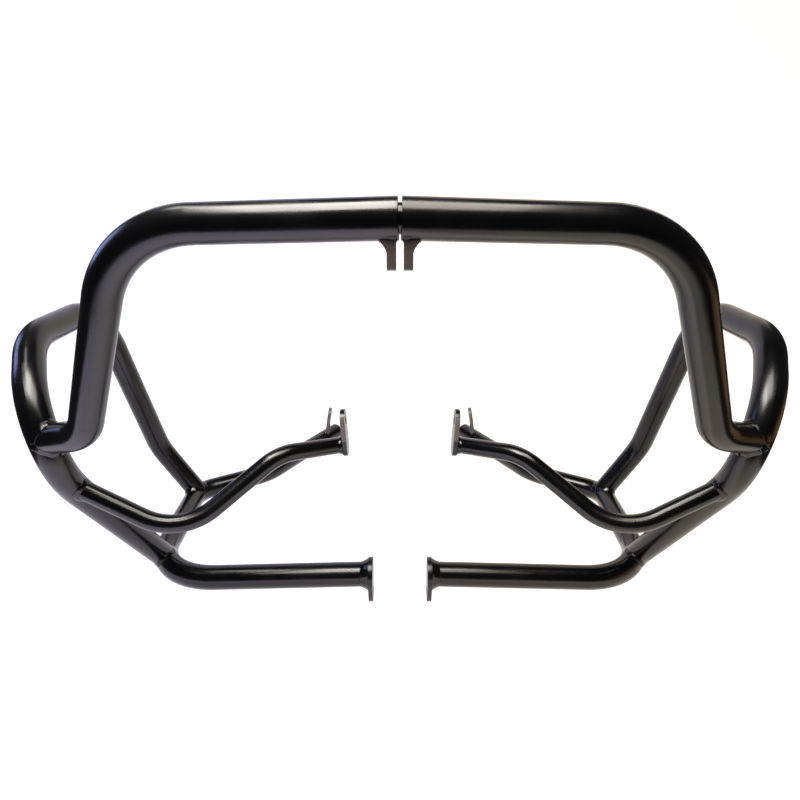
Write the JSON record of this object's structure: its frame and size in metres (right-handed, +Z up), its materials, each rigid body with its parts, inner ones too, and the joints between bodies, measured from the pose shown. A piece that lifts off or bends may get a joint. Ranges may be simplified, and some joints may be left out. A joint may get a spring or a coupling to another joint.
{
  "type": "motorcycle crash bars",
  "caption": "Tubular steel motorcycle crash bars, mirrored halves that meet at the top centre, with side loops, lower loops, braces and bolt-on mounting plates.",
  "frame": {"origin": "centre of the front mounting bolt, on the centre plane", "axes": "+X across the machine along the front bolt, +Y to the rear, +Z up"},
  "size_m": [0.7368, 0.5966, 0.4348],
  "materials": {
    "powder_coat": "satin black powder coat with a fine orange peel",
    "weld_coat": "glossier black powder coat over rippled weld beads"
  },
  "bodies": {
    "root": {"hoop_tube_right": "powder_coat", "hoop_end_cap_right": "powder_coat", "clamp_ear_right": "powder_coat", "clamp_ear_weld_right": "weld_coat", "hoop_foot_weld_right": "weld_coat", "side_loop_tube_right": "powder_coat", "side_loop_front_weld_right": "weld_coat", "side_loop_rear_weld_right": "weld_coat", "lower_loop_tube_right": "powder_coat", "lower_loop_end_cap_right": "powder_coat", "front_mount_plate_right": "powder_coat", "front_mount_weld_right": "weld_coat", "rear_mount_plate_right": "powder_coat", "rear_mount_weld_right": "weld_coat", "brace_tube_right": "powder_coat", "brace_weld_right": "weld_coat", "brace_mount_plate_right": "powder_coat", "brace_mount_weld_right": "weld_coat", "hoop_tube_left": "powder_coat", "hoop_end_cap_left": "powder_coat", "clamp_ear_left": "powder_coat", "clamp_ear_weld_left": "weld_coat", "hoop_foot_weld_left": "weld_coat", "side_loop_tube_left": "powder_coat", "side_loop_front_weld_left": "weld_coat", "side_loop_rear_weld_left": "weld_coat", "lower_loop_tube_left": "powder_coat", "lower_loop_end_cap_left": "powder_coat", "front_mount_plate_left": "powder_coat", "front_mount_weld_left": "weld_coat", "rear_mount_plate_left": "powder_coat", "rear_mount_weld_left": "weld_coat", "brace_tube_left": "powder_coat", "brace_weld_left": "weld_coat", "brace_mount_plate_left": "powder_coat", "brace_mount_weld_left": "weld_coat", "alignment_spigot": "powder_coat"}
  },
  "joints": []
}
